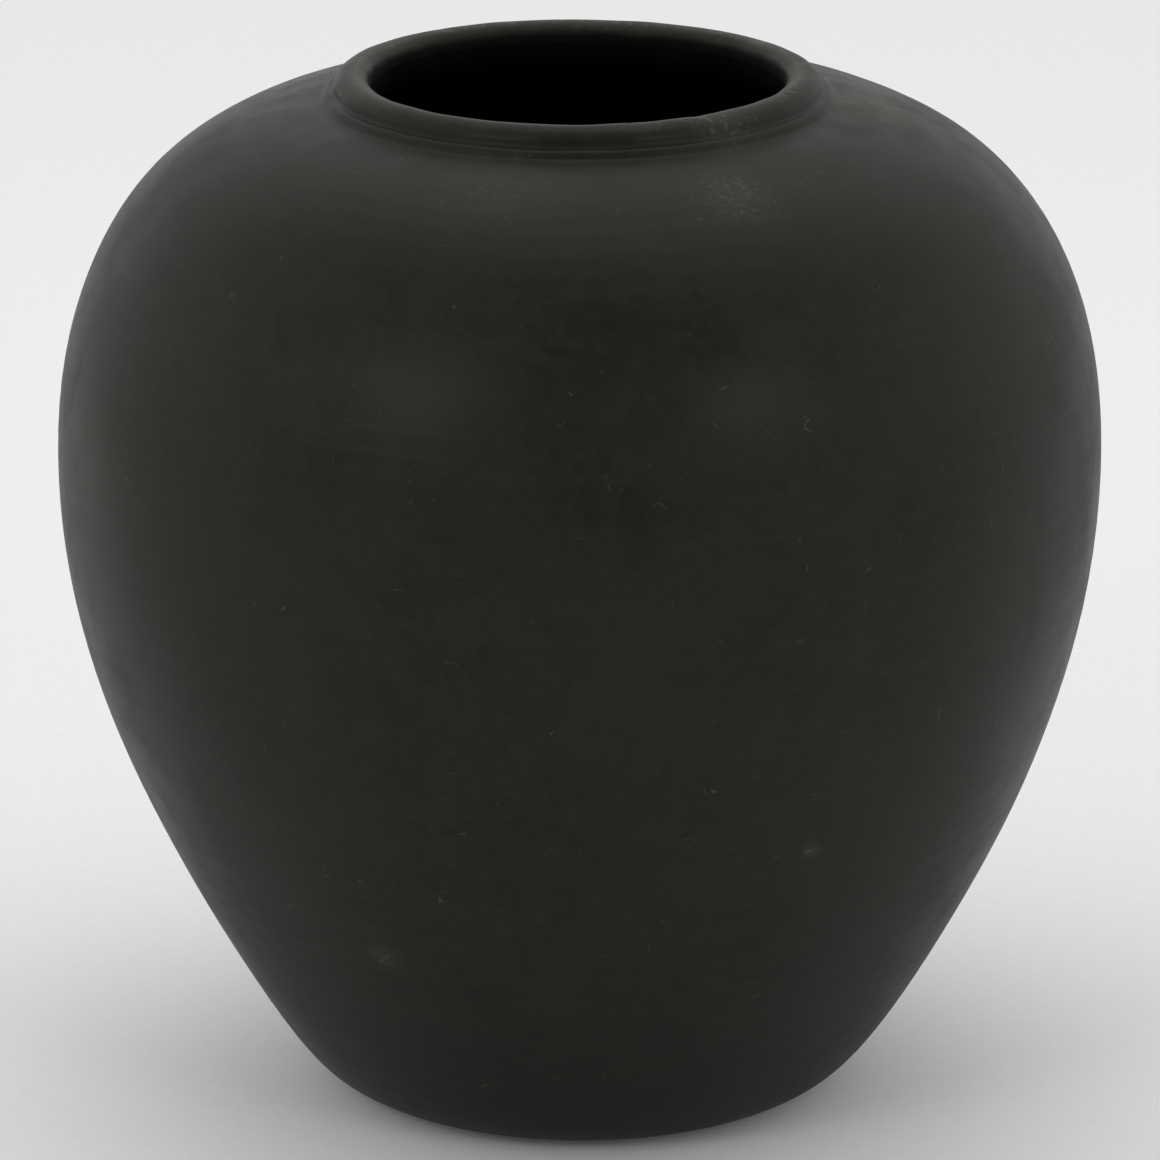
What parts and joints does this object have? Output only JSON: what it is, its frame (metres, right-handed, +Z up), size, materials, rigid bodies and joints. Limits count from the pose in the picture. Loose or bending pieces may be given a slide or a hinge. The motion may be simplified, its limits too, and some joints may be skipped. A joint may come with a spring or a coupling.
{
  "type": "clay jar",
  "caption": "Wide-shouldered black clay jar with a narrow flat foot, a round open mouth and a low rolled rim, built up from luted bands of clay.",
  "frame": {"origin": "centre of the flat base, on the surface the jar stands on", "axes": "+Z up along the jar's axis, out of the mouth; +X and +Y lie in the base, and the jar looks the same from every side"},
  "size_m": [0.3, 0.3, 0.3],
  "materials": {
    "black_clay": "unglazed, smoothed but not burnished, matt charcoal black"
  },
  "bodies": {
    "root": {"base_bowl": "black_clay", "foot_band": "black_clay", "lower_band": "black_clay", "flank_band": "black_clay", "belly_band": "black_clay", "upper_band": "black_clay", "shoulder_band": "black_clay", "crown_band": "black_clay", "neck_collar": "black_clay", "lip_roll": "black_clay"}
  },
  "joints": []
}
